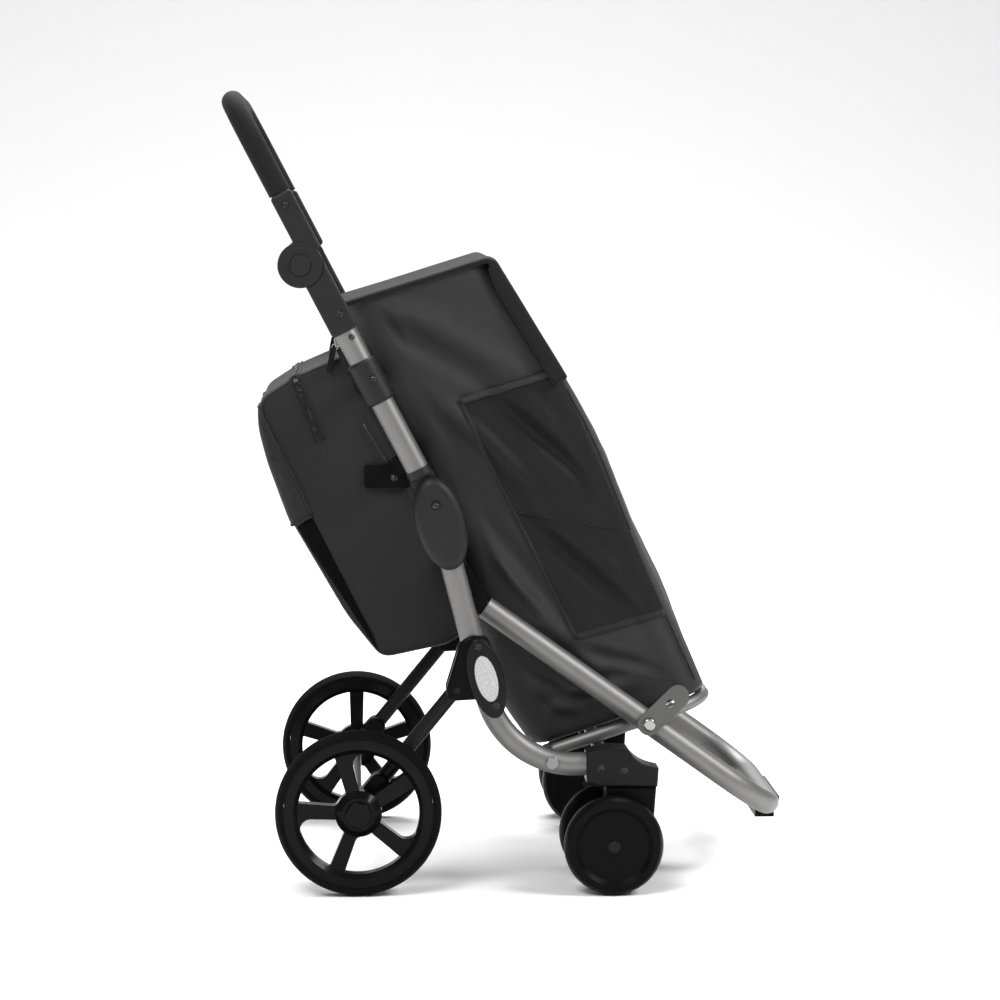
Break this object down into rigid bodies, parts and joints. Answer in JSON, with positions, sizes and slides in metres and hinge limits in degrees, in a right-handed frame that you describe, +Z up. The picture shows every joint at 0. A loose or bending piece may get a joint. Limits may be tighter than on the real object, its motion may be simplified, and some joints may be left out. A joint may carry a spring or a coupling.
{
  "type": "shopping trolley",
  "caption": "Folding shopping trolley with a tube frame, swivel casters, a large fabric bag in front and a zipped bag behind.",
  "frame": {"origin": "floor level, in the middle of the overall length and width", "axes": "+X forward to the casters, +Z up, +Y to the left of someone pushing"},
  "size_m": [0.6904, 0.529, 0.9616],
  "materials": {
    "frame_tube": "satin anodised grey",
    "black_plastic": "fine matte",
    "gloss_black": "glossy moulded",
    "black_paint": "satin black",
    "steel": "bright",
    "rubber": "matte tread",
    "foam": "matte foam",
    "lens": "pebbled white",
    "cloth": "plain weave"
  },
  "bodies": {
    "chassis": {"chassis_tube_right": "frame_tube", "chassis_tube_left": "frame_tube", "fold_housing_right": "black_plastic", "fold_housing_left": "black_plastic", "leg_bracket_right": "black_plastic", "leg_bracket_left": "black_plastic", "reflector_cups": "black_plastic", "reflector_lenses": "lens", "caster_housing_right": "black_plastic", "caster_housing_left": "black_plastic", "front_cross_tube": "black_paint", "chassis_fasteners": "steel", "main_bag_lower": "cloth"},
    "upper_frame": {"upper_tube_right": "frame_tube", "upper_tube_left": "frame_tube", "fold_knuckle_right": "black_plastic", "fold_knuckle_left": "black_plastic", "fold_lever_right": "black_paint", "fold_lever_left": "black_paint", "bag_sleeves": "black_plastic", "upper_cross_bar": "black_paint", "rear_bag_brackets": "black_plastic", "hub_socket_right": "black_plastic", "hub_socket_left": "black_plastic", "rear_bag": "cloth", "main_bag_upper": "cloth"},
    "lid": {"bag_lid": "cloth"},
    "handle": {"handle_hub_right": "black_plastic", "handle_hub_left": "black_plastic", "handle_tube": "frame_tube", "handle_grip": "foam"},
    "button_right": {"hub_button_right": "black_plastic"},
    "button_left": {"hub_button_left": "black_plastic"},
    "base_loop": {"base_loop": "frame_tube", "strap_plate_right": "steel", "strap_plate_left": "steel", "loop_bolts": "steel"},
    "foot_loop": {"foot_loop": "frame_tube", "loop_knuckle_right": "black_plastic", "loop_knuckle_left": "black_plastic", "foot_pad": "black_plastic"},
    "rear_legs": {"rear_leg_right": "black_paint", "rear_leg_left": "black_paint", "leg_shoes": "black_plastic", "rear_axle": "steel"},
    "rear_wheel_right": {"rear_rim_right": "gloss_black", "rear_tyre_right": "rubber", "hub_cap_right": "gloss_black"},
    "caster_right": {"caster_fork_right": "black_plastic", "caster_axle_right": "steel"},
    "caster_wheel_outer_right": {"caster_wheel_outer_right": "gloss_black"},
    "caster_wheel_inner_right": {"caster_wheel_inner_right": "gloss_black"},
    "rear_wheel_left": {"rear_rim_left": "gloss_black", "rear_tyre_left": "rubber", "hub_cap_left": "gloss_black"},
    "caster_left": {"caster_fork_left": "black_plastic", "caster_axle_left": "steel"},
    "caster_wheel_outer_left": {"caster_wheel_outer_left": "gloss_black"},
    "caster_wheel_inner_left": {"caster_wheel_inner_left": "gloss_black"}
  },
  "joints": [
    {"name": "frame_fold", "type": "hinge", "parent": "chassis", "child": "upper_frame", "pos_m": [-0.09131, 0, 0.469], "axis": [0, 1, 0], "range_deg": [0, 140], "deforming": ["main_bag_lower", "main_bag_upper", "bag_lid"]},
    {"name": "base_loop_fold", "type": "hinge", "parent": "chassis", "child": "base_loop", "pos_m": [0.04869, 0, 0.15516], "axis": [0, 1, 0], "range_deg": [-70.6, 0]},
    {"name": "foot_loop_fold", "type": "hinge", "parent": "base_loop", "child": "foot_loop", "pos_m": [0.16961, 0, 0.19466], "axis": [0, 1, 0], "range_deg": [0, 77.6]},
    {"name": "handle_tilt", "type": "hinge", "parent": "upper_frame", "child": "handle", "pos_m": [-0.2513, 0, 0.75403], "axis": [0, 1, 0], "range_deg": [-105, 15]},
    {"name": "leg_fold", "type": "hinge", "parent": "chassis", "child": "rear_legs", "pos_m": [-0.06623, 0, 0.24548], "axis": [0, 1, 0], "range_deg": [-35, 0]},
    {"name": "lid_open", "type": "hinge", "parent": "upper_frame", "child": "lid", "pos_m": [-0.20915, 0, 0.70634], "axis": [0, 1, 0], "range_deg": [-85, 0]},
    {"name": "button_right_press", "type": "slide", "parent": "handle", "child": "button_right", "axis": [0, 1, 0], "range_m": [0, 0.003], "stiffness_N_per_m": 400},
    {"name": "rear_wheel_right_spin", "type": "hinge", "parent": "rear_legs", "child": "rear_wheel_right", "pos_m": [-0.18531, -0.238, 0.1], "axis": [0, 1, 0], "continuous": true},
    {"name": "caster_right_swivel", "type": "hinge", "parent": "chassis", "child": "caster_right", "pos_m": [0.15269, -0.208, 0.1256], "axis": [0, 0, 1], "continuous": true},
    {"name": "caster_wheel_outer_right_spin", "type": "hinge", "parent": "caster_right", "child": "caster_wheel_outer_right", "pos_m": [0.12069, -0.251, 0.06], "axis": [0, 1, 0], "continuous": true},
    {"name": "caster_wheel_inner_right_spin", "type": "hinge", "parent": "caster_right", "child": "caster_wheel_inner_right", "pos_m": [0.12069, -0.165, 0.06], "axis": [0, 1, 0], "continuous": true},
    {"name": "button_left_press", "type": "slide", "parent": "handle", "child": "button_left", "axis": [0, -1, 0], "range_m": [0, 0.003], "stiffness_N_per_m": 400},
    {"name": "rear_wheel_left_spin", "type": "hinge", "parent": "rear_legs", "child": "rear_wheel_left", "pos_m": [-0.18531, 0.238, 0.1], "axis": [0, 1, 0], "continuous": true},
    {"name": "caster_left_swivel", "type": "hinge", "parent": "chassis", "child": "caster_left", "pos_m": [0.15269, 0.208, 0.1256], "axis": [0, 0, 1], "continuous": true},
    {"name": "caster_wheel_outer_left_spin", "type": "hinge", "parent": "caster_left", "child": "caster_wheel_outer_left", "pos_m": [0.12069, 0.251, 0.06], "axis": [0, 1, 0], "continuous": true},
    {"name": "caster_wheel_inner_left_spin", "type": "hinge", "parent": "caster_left", "child": "caster_wheel_inner_left", "pos_m": [0.12069, 0.165, 0.06], "axis": [0, 1, 0], "continuous": true}
  ],
  "couplings": [
    {"joint": "base_loop_fold", "follows": "frame_fold", "ratio": -0.50096},
    {"joint": "foot_loop_fold", "follows": "frame_fold", "ratio": 0.55089}
  ]
}
